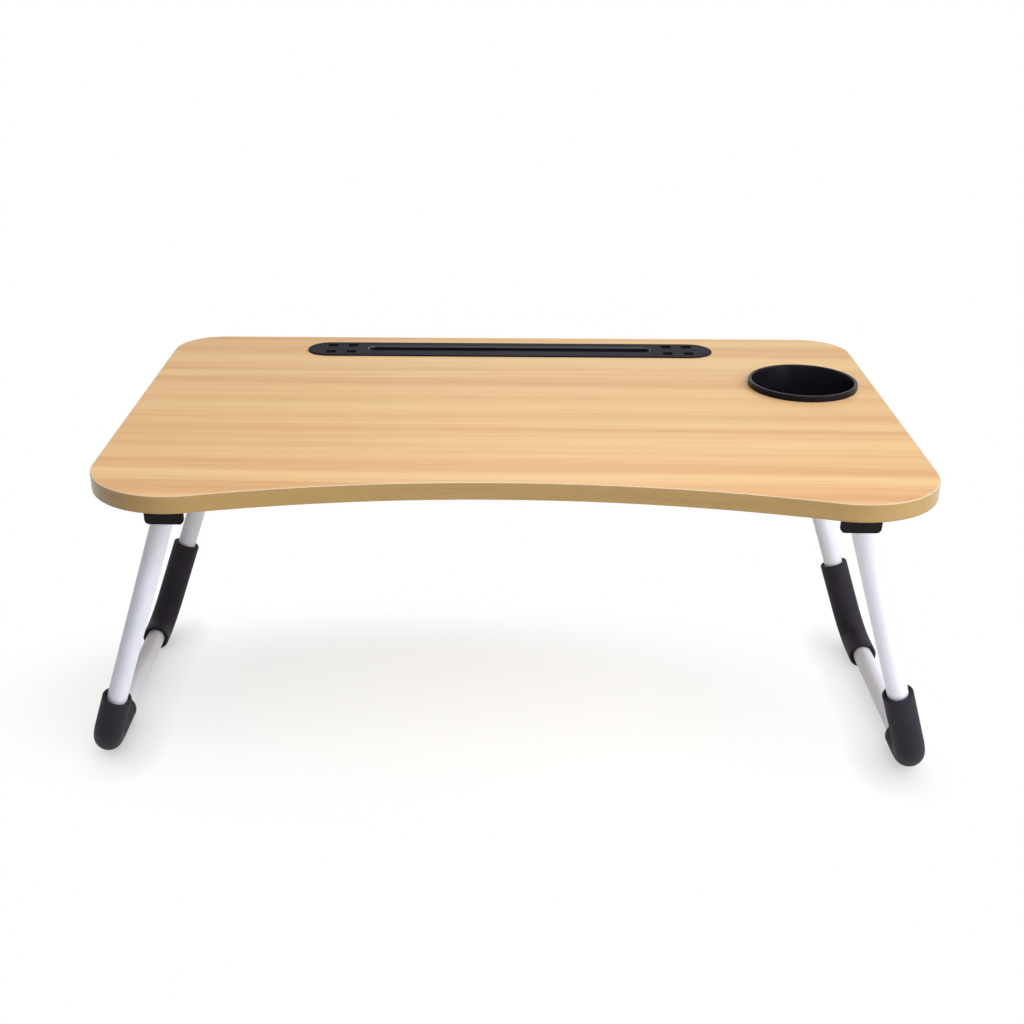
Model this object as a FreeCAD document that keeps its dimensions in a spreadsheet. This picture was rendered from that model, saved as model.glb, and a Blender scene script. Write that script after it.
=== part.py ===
import FreeCAD, Part
import math
import os
import re
import Sketcher
from FreeCAD import Placement, Rotation, Vector

# A folding laptop table, in millimetres, standing on z = 0 with its legs open.
# X runs along the table, Y from the sitter to the back, and the origin is under the middle of the top.

doc = FreeCAD.newDocument("folding_laptop_table")

# Driving dimensions: lengths in millimetres, angles in degrees
sizes = {
    # board
    "table_width": 600,
    "table_depth": 394,
    "table_height": 264,
    "core_thickness": 12,
    "top_laminate_thickness": 0.6,
    "bottom_laminate_thickness": 0.4,
    "band_thickness": 1.0,
    "band_round": 0.7,
    "bow_depth": 33,
    "front_corner_radius": 62,
    "back_corner_radius": 40,
    # cup holder
    "cup_from_side": 58.5,
    "cup_from_back": 136,
    "cup_rim_diameter": 88,
    "cup_rim_width": 2.8,
    "rim_round_share": 0.42,
    "cup_rim_height": 5,
    "cup_depth": 36,
    "cup_floor_diameter": 71,
    "cup_wall": 1.8,
    "cup_floor_thickness": 2,
    "cup_foot_round": 3,
    "cup_floor_round": 2,
    "cup_hole_clearance": 0.2,
    # tablet slot insert
    "slot_length": 359,
    "slot_width": 39.5,
    "slot_from_back": 40.8,
    "slot_lip_height": 1.3,
    "slot_lip_overhang": 2,
    "slot_lip_round": 0.9,
    "slot_body_depth": 9,
    "slot_clearance": 0.2,
    "groove_length": 250,
    "groove_width": 12.7,
    "groove_depth": 8,
    "groove_set_back": 0.8,
    "pocket_length": 8.5,
    "pocket_width": 7.5,
    "pocket_depth": 3,
    "pocket_from_middle": 149,
    "pocket_pitch_along": 18,
    "pocket_pitch_across": 20,
    # legs
    "tube_diameter": 16,
    "tube_wall": 1.2,
    "bend_radius": 28,
    "leg_lean": 19.2,
    "leg_taper": 7.7,
    "pivot_from_side": 52.5,
    "pivot_from_front": 50,
    "pivot_from_back": 55,
    "pivot_drop": 18,
    # foot sleeves
    "sleeve_diameter": 23.5,
    "sleeve_clearance": 0.05,
    "sleeve_flat": 0.6,
    "sleeve_rim_round": 1.2,
    "flare_share": 0.48,
    "sleeve_arms": 118,
    "front_left_upright_arm": 55,
    "front_right_upright_arm": 74,
    "rear_left_upright_arm": 82,
    "rear_right_upright_arm": 71,
    # hinges
    "pin_diameter": 5,
    "pin_press": 0.02,
    "pin_running": 0.05,
    "pin_edge": 2.7,
    "hinge_clearance": 0.3,
    "side_clearance": 0.3,
    "cheek_thickness": 3,
    "hub_wall": 2.9,
    "cheek_reach": 16,
    "cheek_round": 3.5,
    "cheek_draft": 0.5,
    "stop_wall": 4.4,
    "gusset_thickness": 2,
    "gusset_reach": 7,
    "gusset_drop": 7.5,
    "base_thickness": 4,
    "base_overhang": 4,
    "base_round": 4,
    "ear_length": 9,
    "neck_shoulder": 1.5,
    "spigot_length": 22,
    "spigot_clearance": 0.05,
    # screws
    "screw_head_diameter": 7,
    "screw_head_height": 2.2,
    "screw_shank_diameter": 3.5,
    "screw_length": 12,
    "screw_tip_length": 2.5,
    "screw_edge": 5,
    "screw_hole_clearance": 0.25,
    "pilot_clearance": 0.05,
    "overrun": 2,
}

# Sizes that follow from the driving dimensions
derived = {
    "board_thickness": "core_thickness + top_laminate_thickness + bottom_laminate_thickness",
    "underside": "table_height - board_thickness",
    "core_bottom": "underside + bottom_laminate_thickness",
    "core_top": "table_height - top_laminate_thickness",
    "front_centre_x": "table_width / 2 - front_corner_radius",
    "front_centre_y": "front_corner_radius - table_depth / 2",
    "back_centre_x": "table_width / 2 - back_corner_radius",
    "back_centre_y": "table_depth / 2 - back_corner_radius",
    "bow_radius": "(front_centre_x ^ 2 + (front_corner_radius - bow_depth) ^ 2 - front_corner_radius ^ 2)"
                  " / (2 * bow_depth)",
    # cup holder, heights from the top of the board
    "cup_x": "table_width / 2 - cup_from_side",
    "cup_y": "table_depth / 2 - cup_from_back",
    "cup_rim_radius": "cup_rim_diameter / 2",
    "cup_mouth_radius": "cup_rim_radius - cup_rim_width",
    "cup_rim_round": "cup_rim_width * rim_round_share",
    "cup_floor_radius": "cup_floor_diameter / 2",
    "cup_floor_height": "cup_rim_height - cup_depth",
    "cup_draft": "(cup_mouth_radius - cup_floor_radius) / cup_depth",
    "cup_body_radius": "cup_floor_radius - cup_draft * cup_floor_height + cup_wall",
    "cup_foot_radius": "cup_floor_radius + cup_wall - cup_draft * cup_floor_thickness",
    "cup_bottom_height": "cup_floor_height - cup_floor_thickness",
    "cup_hole_radius": "cup_body_radius + cup_hole_clearance",
    # tablet slot insert
    "slot_y": "table_depth / 2 - slot_from_back",
    "slot_body_length": "slot_length - 2 * slot_lip_overhang",
    "slot_body_width": "slot_width - 2 * slot_lip_overhang",
    "recess_length": "slot_body_length + 2 * slot_clearance",
    "recess_width": "slot_body_width + 2 * slot_clearance",
    "recess_depth": "slot_body_depth + slot_clearance - top_laminate_thickness",
    # legs, in the plane of the leg with the hinge line at height 0
    "pivot_x": "table_width / 2 - pivot_from_side",
    "pivot_z": "underside - pivot_drop",
    "front_pivot_y": "pivot_from_front - table_depth / 2",
    "rear_pivot_y": "table_depth / 2 - pivot_from_back",
    "tube_radius": "tube_diameter / 2",
    "tube_bore_radius": "tube_radius - tube_wall",
    "sleeve_radius": "sleeve_diameter / 2",
    "sleeve_bore_radius": "tube_radius + sleeve_clearance",
    "mouth_flare": "(sleeve_radius - sleeve_bore_radius) * flare_share",
    "front_left_run_arm": "sleeve_arms - front_left_upright_arm",
    "front_right_run_arm": "sleeve_arms - front_right_upright_arm",
    "rear_left_run_arm": "sleeve_arms - rear_left_upright_arm",
    "rear_right_run_arm": "sleeve_arms - rear_right_upright_arm",
    "run_height": "sleeve_radius - sleeve_flat",
    "leg_length": "(pivot_z - run_height) / cos(leg_lean)",
    "front_corner_y": "front_pivot_y + leg_length * tan(leg_taper)",
    "rear_corner_y": "rear_pivot_y - leg_length * tan(leg_taper)",
    # hinges, from the pin's axis
    "pin_radius": "pin_diameter / 2",
    "hub_radius": "pin_radius + hub_wall",
    "hub_room": "tube_radius + hinge_clearance",
    "channel_half": "cheek_reach * tan(leg_taper) + tube_radius / cos(leg_taper) + side_clearance",
    "hub_half": "channel_half - side_clearance",
    "bracket_half": "channel_half + cheek_thickness",
    "bracket_outboard": "hub_room + stop_wall",
    "skirt": "pin_radius + pin_edge",
    "base_bottom": "pivot_drop - base_thickness",
    "ear_half": "bracket_half + ear_length",
    "neck_length": "hub_radius + neck_shoulder",
    "spigot_radius": "tube_bore_radius - spigot_clearance",
    # screws, from the pin's axis
    "screw_inboard": "screw_edge - cheek_reach",
    "screw_outboard": "bracket_outboard - screw_edge",
    "screw_across": "bracket_half + ear_length / 2",
    "screw_hole_radius": "screw_shank_diameter / 2 + screw_hole_clearance",
    "pilot_radius": "screw_shank_diameter / 2 + pilot_clearance",
    "pilot_depth": "screw_length - base_thickness - bottom_laminate_thickness + pilot_clearance",
}

sides = {"left": -1, "right": 1}
ends = {"front": -1, "rear": 1}


def qualified(expression):
    """Give each size named in an expression the name of its sheet."""
    def with_sheet(match):
        word = match.group(0)
        if word in sizes:
            return "Sizes." + word
        if word in derived:
            return "Derived." + word
        return word
    return re.sub(r"[a-z_]+", with_sheet, expression)


def fill_sheet(name, rows):
    sheet = doc.addObject("Spreadsheet::Sheet", name)
    for row, (alias, text) in enumerate(rows, start=1):
        sheet.set("A%d" % row, alias)
        sheet.set("B%d" % row, text)
        sheet.setAlias("B%d" % row, alias)
    doc.recompute()
    return sheet


fill_sheet("Sizes", [(alias, str(value)) for alias, value in sizes.items()])
derived_sheet = fill_sheet("Derived", [(alias, "=" + qualified(text)) for alias, text in derived.items()])


def number(expression):
    return float(derived_sheet.evalExpression(qualified(expression)))


def bind(thing, path, expression):
    thing.setExpression(path, qualified(expression))


def bind_place(thing, x="0", y="0", z="0"):
    for letter, expression in (("x", x), ("y", y), ("z", z)):
        bind(thing, "Placement.Base." + letter, expression)


def turn(thing, axis, expression):
    thing.Placement = Placement(thing.Placement.Base, Rotation(axis, 1))
    bind(thing, "Placement.Rotation.Angle", expression)


# Sketch helpers: every point and radius is an expression in the named sizes

def new_body(label):
    body = doc.addObject("PartDesign::Body", label)
    body.Label = label
    return body


def new_sketch(body, name, role, lift="0"):
    sketch = body.newObject("Sketcher::SketchObject", name)
    plane = next(f for f in body.Origin.OriginFeatures if f.Role == role)
    sketch.AttachmentSupport = (plane, [""])
    sketch.MapMode = "FlatFace"
    bind(sketch, "AttachmentOffset.Base.z", lift)
    return sketch


def datum(sketch, kind, where, expression):
    index = sketch.addConstraint(Sketcher.Constraint(kind, *where, number(expression)))
    bind(sketch, "Constraints[%d]" % index, expression)


def pin_point(sketch, geometry, point, x, y):
    for kind, axis, expression in (("DistanceX", -2, x), ("DistanceY", -1, y)):
        if expression == "0":
            sketch.addConstraint(Sketcher.Constraint("PointOnObject", geometry, point, axis))
        else:
            datum(sketch, kind, (-1, 1, geometry, point), expression)


def smooth(sketch, first, first_point, second, second_point):
    sketch.addConstraint(Sketcher.Constraint("Tangent", first, first_point, second, second_point))


def add_circle(sketch, radius, x="0", y="0"):
    centre = Vector(number(x), number(y), 0)
    index = sketch.addGeometry(Part.Circle(centre, Vector(0, 0, 1), number(radius)))
    pin_point(sketch, index, 3, x, y)
    datum(sketch, "Radius", (index,), radius)


def add_arc(sketch, x, y, radius, start, end):
    circle = Part.Circle(Vector(number(x), number(y), 0), Vector(0, 0, 1), number(radius))
    return sketch.addGeometry(Part.ArcOfCircle(circle, start, end))


def add_line(sketch, start, end):
    return sketch.addGeometry(Part.LineSegment(start, end))


def add_path(sketch, corners, closed):
    """Straight runs between corners (x, y, radius), rounded where the radius isn't None."""
    points = [Vector(number(x), number(y), 0) for x, y, _ in corners]
    count = len(corners)
    runs = range(count if closed else count - 1)
    entry = list(points)
    leave = list(points)
    arcs = {}
    for i, (x, y, radius) in enumerate(corners):
        if radius is None:
            continue
        back = (points[i - 1] - points[i]).normalize()
        ahead = (points[(i + 1) % count] - points[i]).normalize()
        half = back.getAngle(ahead) / 2
        entry[i] = points[i] + back * (number(radius) / math.tan(half))
        leave[i] = points[i] + ahead * (number(radius) / math.tan(half))
        centre = points[i] + (back + ahead).normalize() * (number(radius) / math.sin(half))
        left_turn = back.cross(ahead).z < 0
        first, last = (entry[i], leave[i]) if left_turn else (leave[i], entry[i])
        start, end = (math.atan2(p.y - centre.y, p.x - centre.x) for p in (first, last))
        circle = Part.Circle(centre, Vector(0, 0, 1), number(radius))
        arcs[i] = (sketch.addGeometry(Part.ArcOfCircle(circle, start, end)), left_turn)
    lines = {i: add_line(sketch, leave[i], entry[(i + 1) % count]) for i in runs}
    for i, (x, y, radius) in enumerate(corners):
        into = lines.get((i - 1) % count if closed else i - 1)
        out = lines.get(i)
        if radius is not None:
            arc, left_turn = arcs[i]
            corner = sketch.addGeometry(Part.Point(points[i]), True)
            pin_point(sketch, corner, 1, x, y)
            for line in (into, out):
                sketch.addConstraint(Sketcher.Constraint("PointOnObject", corner, 1, line))
            smooth(sketch, into, 2, arc, 1 if left_turn else 2)
            smooth(sketch, arc, 2 if left_turn else 1, out, 1)
            datum(sketch, "Radius", (arc,), radius)
        elif into is None:
            pin_point(sketch, out, 1, x, y)
        elif out is None:
            pin_point(sketch, into, 2, x, y)
        else:
            sketch.addConstraint(Sketcher.Constraint("Coincident", into, 2, out, 1))
            pin_point(sketch, out, 1, x, y)


def add_rectangle(sketch, x, y, length, width):
    low_x, high_x = ("(%s) %s (%s) / 2" % (x, sign, length) for sign in "-+")
    low_y, high_y = ("(%s) %s (%s) / 2" % (y, sign, width) for sign in "-+")
    corners = [(low_x, low_y), (high_x, low_y), (high_x, high_y), (low_x, high_y)]
    add_path(sketch, [(a, b, None) for a, b in corners], closed=True)


def add_stadium(sketch, length, width, y="0"):
    reach = "(%s - %s) / 2" % (length, width)
    radius = "(%s) / 2" % width
    right = add_arc(sketch, reach, y, radius, -math.pi / 2, math.pi / 2)
    left = add_arc(sketch, "-" + reach, y, radius, math.pi / 2, -math.pi / 2)
    far, level, rise = number(reach), number(y), Vector(0, number(radius), 0)
    upper = add_line(sketch, Vector(far, level, 0) + rise, Vector(-far, level, 0) + rise)
    lower = add_line(sketch, Vector(-far, level, 0) - rise, Vector(far, level, 0) - rise)
    for arc, x in ((right, reach), (left, "-" + reach)):
        pin_point(sketch, arc, 3, x, y)
        datum(sketch, "Radius", (arc,), radius)
    smooth(sketch, right, 2, upper, 1)
    smooth(sketch, upper, 2, left, 1)
    smooth(sketch, left, 2, lower, 1)
    smooth(sketch, lower, 2, right, 1)


def add_board_outline(sketch, inset):
    """The table's outline, drawn in by an inset: round corners and a front edge bowed inwards."""
    bow_x, bow_y = "0", "bow_depth - table_depth / 2 - bow_radius"
    slant = math.atan2(number("front_centre_y") - number(bow_y), number("front_centre_x"))
    quarter = math.pi / 2
    back_radius = "back_corner_radius - " + inset
    front_radius = "front_corner_radius - " + inset
    corners = {
        "back_right": ("back_centre_x", "back_centre_y", back_radius, 0, quarter),
        "back_left": ("-back_centre_x", "back_centre_y", back_radius, quarter, math.pi),
        "front_left": ("-front_centre_x", "front_centre_y", front_radius, math.pi, 2 * math.pi - slant),
        "front_right": ("front_centre_x", "front_centre_y", front_radius, math.pi + slant, 2 * math.pi),
    }
    arcs = {name: add_arc(sketch, *values) for name, values in corners.items()}
    bow = add_arc(sketch, bow_x, bow_y, "bow_radius + " + inset, slant, math.pi - slant)
    side, back = number("table_width / 2 - " + inset), number("table_depth / 2 - " + inset)
    low, high, far = number("front_centre_y"), number("back_centre_y"), number("back_centre_x")
    right = add_line(sketch, Vector(side, low, 0), Vector(side, high, 0))
    top = add_line(sketch, Vector(far, back, 0), Vector(-far, back, 0))
    left = add_line(sketch, Vector(-side, high, 0), Vector(-side, low, 0))
    for name, (x, y, radius, _, _) in corners.items():
        pin_point(sketch, arcs[name], 3, x, y)
        datum(sketch, "Radius", (arcs[name],), radius)
    datum(sketch, "Radius", (bow,), "bow_radius + " + inset)
    smooth(sketch, right, 2, arcs["back_right"], 1)
    smooth(sketch, arcs["back_right"], 2, top, 1)
    smooth(sketch, top, 2, arcs["back_left"], 1)
    smooth(sketch, arcs["back_left"], 2, left, 1)
    smooth(sketch, left, 2, arcs["front_left"], 1)
    smooth(sketch, arcs["front_left"], 2, bow, 2)
    smooth(sketch, bow, 1, arcs["front_right"], 1)
    smooth(sketch, arcs["front_right"], 2, right, 1)


# Feature helpers

def pad(body, sketch, length, reversed_way=False, both_ways=False):
    feature = body.newObject("PartDesign::Pad", sketch.Name + "_pad")
    feature.Profile = sketch
    feature.Reversed = reversed_way
    feature.SideType = "Symmetric" if both_ways else "One side"
    bind(feature, "Length", length)
    doc.recompute()
    return feature


def pocket(body, sketch, length, reversed_way=False, both_ways=False):
    before = body.Shape.Volume
    feature = body.newObject("PartDesign::Pocket", sketch.Name + "_pocket")
    feature.Profile = sketch
    feature.Reversed = reversed_way
    feature.SideType = "Symmetric" if both_ways else "One side"
    bind(feature, "Length", length)
    doc.recompute()
    if body.Shape.Volume >= before:
        raise RuntimeError(feature.Name + " cuts nothing")
    return feature


def pipe(body, profile, spine):
    feature = body.newObject("PartDesign::AdditivePipe", spine.Name + "_pipe")
    feature.Profile = profile
    feature.Spine = (spine, ["Edge%d" % i for i in range(1, len(spine.Shape.Edges) + 1)])
    doc.recompute()
    return feature


def dress(body, kind, size, expression, chosen):
    base = body.Tip
    names = ["Edge%d" % i for i, edge in enumerate(base.Shape.Edges, start=1) if chosen(edge)]
    feature = body.newObject("PartDesign::" + kind, "%s_%s" % (body.Name, kind.lower()))
    feature.Base = (base, names)
    bind(feature, size, expression)
    doc.recompute()
    return feature


def fillet(body, radius, chosen):
    return dress(body, "Fillet", "Radius", radius, chosen)


def chamfer(body, size, chosen):
    return dress(body, "Chamfer", "Size", size, chosen)


def cylinder(name, radius, height):
    thing = doc.addObject("Part::Cylinder", name)
    bind(thing, "Radius", radius)
    bind(thing, "Height", height)
    return thing


def hinge_place(side, end):
    sign = "" if sides[side] > 0 else "-"
    return sign + "pivot_x", end + "_pivot_y", "pivot_z"


def screw_places():
    """Each screw's x and y: four about every hinge, on the bracket's ears."""
    for side in sides:
        for end in ends:
            x, y, _ = hinge_place(side, end)
            outwards = "+" if sides[side] > 0 else "-"
            for along in ("screw_inboard", "screw_outboard"):
                for across in "+-":
                    yield "%s %s %s" % (x, outwards, along), "%s %s screw_across" % (y, across)


# Board: fibreboard core between two laminates, closed round the edge by a plastic band

def make_core():
    body = new_body("tabletop_core")
    outline = new_sketch(body, "core_outline", "XY_Plane")
    add_board_outline(outline, "band_thickness")
    add_circle(outline, "cup_hole_radius", "cup_x", "cup_y")
    pad(body, outline, "core_thickness")
    recess = new_sketch(body, "core_recess", "XY_Plane", "core_thickness")
    add_stadium(recess, "recess_length", "recess_width", "slot_y")
    pocket(body, recess, "recess_depth")
    pilots = new_sketch(body, "core_pilots", "XY_Plane")
    for x, y in screw_places():
        add_circle(pilots, "pilot_radius", x, y)
    pocket(body, pilots, "pilot_depth", reversed_way=True)
    bind_place(body, z="core_bottom")
    return body


def make_top_laminate():
    body = new_body("top_laminate")
    outline = new_sketch(body, "top_laminate_outline", "XY_Plane")
    add_board_outline(outline, "band_thickness")
    add_circle(outline, "cup_hole_radius", "cup_x", "cup_y")
    add_stadium(outline, "recess_length", "recess_width", "slot_y")
    pad(body, outline, "top_laminate_thickness")
    bind_place(body, z="core_top")
    return body


def make_bottom_laminate():
    body = new_body("bottom_laminate")
    outline = new_sketch(body, "bottom_laminate_outline", "XY_Plane")
    add_board_outline(outline, "band_thickness")
    add_circle(outline, "cup_hole_radius", "cup_x", "cup_y")
    for x, y in screw_places():
        add_circle(outline, "pilot_radius", x, y)
    pad(body, outline, "bottom_laminate_thickness")
    bind_place(body, z="underside")
    return body


def make_edge_band():
    body = new_body("edge_band")
    outline = new_sketch(body, "band_outline", "XY_Plane")
    add_board_outline(outline, "0")
    add_board_outline(outline, "band_thickness")
    pad(body, outline, "board_thickness")
    width = number("table_width / 2")
    depth = number("table_depth / 2")
    radii = [number(name) for name in ("front_corner_radius", "back_corner_radius", "bow_radius")]
    upright = number("board_thickness / 2")

    def on_outer_arris(edge):
        if edge.BoundBox.ZLength > upright:
            return False
        if isinstance(edge.Curve, Part.Circle):
            return any(math.isclose(edge.Curve.Radius, radius) for radius in radii)
        middle = edge.CenterOfMass
        return math.isclose(abs(middle.x), width) or math.isclose(middle.y, depth)

    fillet(body, "band_round", on_outer_arris)
    bind_place(body, z="underside")
    return body


# Cup holder: one turned profile, a tapered cup hung from its rounded rim

def make_cup_holder():
    body = new_body("cup_holder")
    profile = new_sketch(body, "cup_profile", "XZ_Plane")
    add_path(profile, [
        ("0", "cup_bottom_height", None),
        ("cup_foot_radius", "cup_bottom_height", "cup_foot_round"),
        ("cup_body_radius", "0", None),
        ("cup_rim_radius", "0", None),
        ("cup_rim_radius", "cup_rim_height", "cup_rim_round"),
        ("cup_mouth_radius", "cup_rim_height", "cup_rim_round"),
        ("cup_floor_radius", "cup_floor_height", "cup_floor_round"),
        ("0", "cup_floor_height", None),
    ], closed=True)
    feature = body.newObject("PartDesign::Revolution", "cup_turned")
    feature.Profile = profile
    feature.ReferenceAxis = (profile, ["V_Axis"])
    feature.Angle = 360
    bind_place(body, "cup_x", "cup_y", "table_height")
    return body


# Tablet slot: a stadium insert with a lip, a long groove and square pockets at both ends

def make_tablet_slot():
    body = new_body("tablet_slot_insert")
    lip = new_sketch(body, "slot_lip", "XY_Plane")
    add_stadium(lip, "slot_length", "slot_width")
    pad(body, lip, "slot_lip_height")
    fillet(body, "slot_lip_round", lambda edge: math.isclose(edge.BoundBox.ZMin, number("slot_lip_height")))
    tray = new_sketch(body, "slot_tray", "XY_Plane")
    add_stadium(tray, "slot_body_length", "slot_body_width")
    pad(body, tray, "slot_body_depth", reversed_way=True)
    groove = new_sketch(body, "slot_groove", "XY_Plane", "slot_lip_height")
    add_stadium(groove, "groove_length", "groove_width", "groove_set_back")
    pocket(body, groove, "groove_depth")
    pockets = new_sketch(body, "slot_pockets", "XY_Plane", "slot_lip_height")
    for end in ("-", ""):
        for along in "-+":
            for across in ("-", ""):
                x = "%s(pocket_from_middle %s pocket_pitch_along / 2)" % (end, along)
                y = "%spocket_pitch_across / 2" % across
                add_rectangle(pockets, x, y, "pocket_length", "pocket_width")
    pocket(body, pockets, "pocket_depth")
    bind_place(body, "0", "slot_y", "table_height")
    return body


# Hinges: a screwed bracket with two cheeks and a stop, a fixed pin, and a knuckle plugged into the tube

def make_bracket(side, end):
    body = new_body("hinge_bracket_%s_%s" % (end, side))
    base = new_sketch(body, body.Name + "_base", "XY_Plane", "base_bottom")
    add_path(base, [
        ("-cheek_reach - base_overhang", "-ear_half", "base_round"),
        ("bracket_outboard", "-ear_half", "base_round"),
        ("bracket_outboard", "ear_half", "base_round"),
        ("-cheek_reach - base_overhang", "ear_half", "base_round"),
    ], closed=True)
    for x in ("screw_inboard", "screw_outboard"):
        for y in ("-screw_across", "screw_across"):
            add_circle(base, "screw_hole_radius", x, y)
    pad(body, base, "base_thickness")
    cheeks = new_sketch(body, body.Name + "_cheeks", "XZ_Plane")
    add_path(cheeks, [
        ("-cheek_reach", "base_bottom", None),
        ("-cheek_reach", "-skirt", "cheek_round"),
        ("bracket_outboard - cheek_draft", "-skirt", "cheek_round"),
        ("bracket_outboard", "base_bottom", None),
    ], closed=True)
    pad(body, cheeks, "2 * bracket_half", both_ways=True)
    gussets = new_sketch(body, body.Name + "_gussets", "YZ_Plane", "(screw_inboard + screw_outboard) / 2")
    for way in ("-", ""):
        inner = way + "(bracket_half - cheek_thickness / 2)"
        outer = way + "(bracket_half + gusset_reach)"
        add_path(gussets, [
            (inner, "base_bottom - gusset_drop", None),
            (outer, "base_bottom", None),
            (inner, "base_bottom", None),
        ], closed=True)
    pad(body, gussets, "gusset_thickness", both_ways=True)
    channel = new_sketch(body, body.Name + "_channel", "XZ_Plane")
    add_path(channel, [
        ("-cheek_reach - overrun", "hub_room", None),
        ("-cheek_reach - overrun", "-skirt - overrun", None),
        ("(hub_room + (skirt + overrun) * sin(leg_lean)) / cos(leg_lean)", "-skirt - overrun", None),
        ("hub_room * (1 - sin(leg_lean)) / cos(leg_lean)", "hub_room", "hub_room"),
    ], closed=True)
    pocket(body, channel, "2 * channel_half", both_ways=True)
    bore = new_sketch(body, body.Name + "_bore", "XZ_Plane")
    add_circle(bore, "pin_radius + pin_press")
    pocket(body, bore, "2 * (bracket_half + overrun)", both_ways=True)
    turn(body, Vector(0, 0, 1), "0" if sides[side] > 0 else "180")
    bind_place(body, *hinge_place(side, end))
    return body


def make_pin(side, end):
    pin = cylinder("hinge_pin_%s_%s" % (end, side), "pin_radius", "2 * bracket_half")
    x, y, z = hinge_place(side, end)
    turn(pin, Vector(1, 0, 0), "90")
    bind_place(pin, x, y + " + bracket_half", z)
    return pin


def leg_place(thing, side):
    """Lean a piece drawn upright under the hinge line out to its side."""
    turn(thing, Vector(0, 1, 0), "-leg_lean" if sides[side] > 0 else "leg_lean")
    bind_place(thing, hinge_place(side, "front")[0], "0", "pivot_z")


def make_knuckle(side, end):
    name = "hinge_knuckle_%s_%s" % (end, side)
    pivot_y = end + "_pivot_y"
    inwards = "+" if ends[end] < 0 else "-"
    tilt = "leg_taper" if ends[end] < 0 else "-leg_taper"
    hub = cylinder(name + "_hub", "hub_radius", "2 * hub_half")
    turn(hub, Vector(1, 0, 0), "90")
    bind_place(hub, y=pivot_y + " + hub_half")
    bore = cylinder(name + "_bore", "pin_radius + pin_running", "2 * (hub_half + overrun)")
    turn(bore, Vector(1, 0, 0), "90")
    bind_place(bore, y=pivot_y + " + hub_half + overrun")
    reach = "(neck_length + spigot_length)"
    spigot = cylinder(name + "_spigot", "spigot_radius", reach)
    turn(spigot, Vector(1, 0, 0), tilt)
    foot_y = "%s %s %s * sin(leg_taper)" % (pivot_y, inwards, reach)
    bind_place(spigot, y=foot_y, z="-%s * cos(leg_taper)" % reach)
    fused = doc.addObject("Part::MultiFuse", name + "_fused")
    fused.Shapes = [hub, spigot]
    knuckle = doc.addObject("Part::Cut", name)
    knuckle.Base = fused
    knuckle.Tool = bore
    leg_place(knuckle, side)
    return knuckle


def make_screws():
    """All the bracket screws as one group of separate solids, each turned from one profile."""
    head = number("screw_head_diameter") / 2
    shank = number("screw_shank_diameter") / 2
    height = number("screw_head_height")
    length = number("screw_length")
    straight = length - number("screw_tip_length")
    crown_share = 0.55
    crown = Vector(head * math.sqrt(crown_share), 0, -height * (1 + crown_share) / 2)
    side = [Vector(0, 0, -height), Vector(head, 0, -height * crown_share), Vector(head, 0, 0),
            Vector(shank, 0, 0), Vector(shank, 0, straight), Vector(0, 0, length)]
    edges = [Part.Arc(side[0], crown, side[1]).toShape()]
    edges += [Part.LineSegment(a, b).toShape() for a, b in zip(side[1:], side[2:] + side[:1])]
    screw = Part.Face(Part.Wire(edges)).revolve(Vector(0, 0, 0), Vector(0, 0, 1), 360)
    seat = number("underside - base_thickness")
    group = doc.addObject("Part::Feature", "bracket_screws")
    group.Shape = Part.makeCompound([
        screw.translated(Vector(number(x), number(y), seat)) for x, y in screw_places()])
    return group


# Legs: each a U of tube with its foot sleeves over the two bends

def upright_point(end, distance, from_pivot):
    """A point of an upright's axis, so far from its hinge pin or from its corner at the floor."""
    inwards = "+" if ends[end] < 0 else "-"
    if from_pivot:
        across = "%s_pivot_y %s %s * sin(leg_taper)" % (end, inwards, distance)
        return across, "-%s * cos(leg_taper)" % distance
    outwards = "-" if ends[end] < 0 else "+"
    across = "%s_corner_y %s %s * sin(leg_taper)" % (end, outwards, distance)
    return across, "%s * cos(leg_taper) - leg_length" % distance


def make_leg_tube(side):
    body = new_body("leg_tube_" + side)
    for end in ends:
        profile = new_sketch(body, "%s_%s_section" % (body.Name, end), "XZ_Plane")
        add_circle(profile, "tube_radius", "0", "-leg_length")
        add_circle(profile, "tube_bore_radius", "0", "-leg_length")
        spine = new_sketch(body, "%s_%s_path" % (body.Name, end), "YZ_Plane")
        add_path(spine, [
            ("0", "-leg_length", None),
            (end + "_corner_y", "-leg_length", "bend_radius"),
            upright_point(end, "neck_length", from_pivot=True) + (None,),
        ], closed=False)
        doc.recompute()
        pipe(body, profile, spine)
    leg_place(body, side)
    return body


def make_floor():
    floor = doc.addObject("Part::Box", "floor_cut")
    bind(floor, "Length", "2 * table_width")
    bind(floor, "Width", "2 * table_depth")
    bind(floor, "Height", "sleeve_diameter")
    bind_place(floor, "-table_width", "-table_depth", "-sleeve_diameter")
    return floor


def on_rim(body, radius):
    """Pick the circles of a radius that bound the flat ends of a body."""
    flat_ends = [face for face in body.Tip.Shape.Faces if isinstance(face.Surface, Part.Plane)]

    def chosen(edge):
        round_edge = isinstance(edge.Curve, Part.Circle) and math.isclose(edge.Curve.Radius, number(radius))
        return round_edge and any(edge.isSame(other) for face in flat_ends for other in face.Edges)

    return chosen


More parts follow.
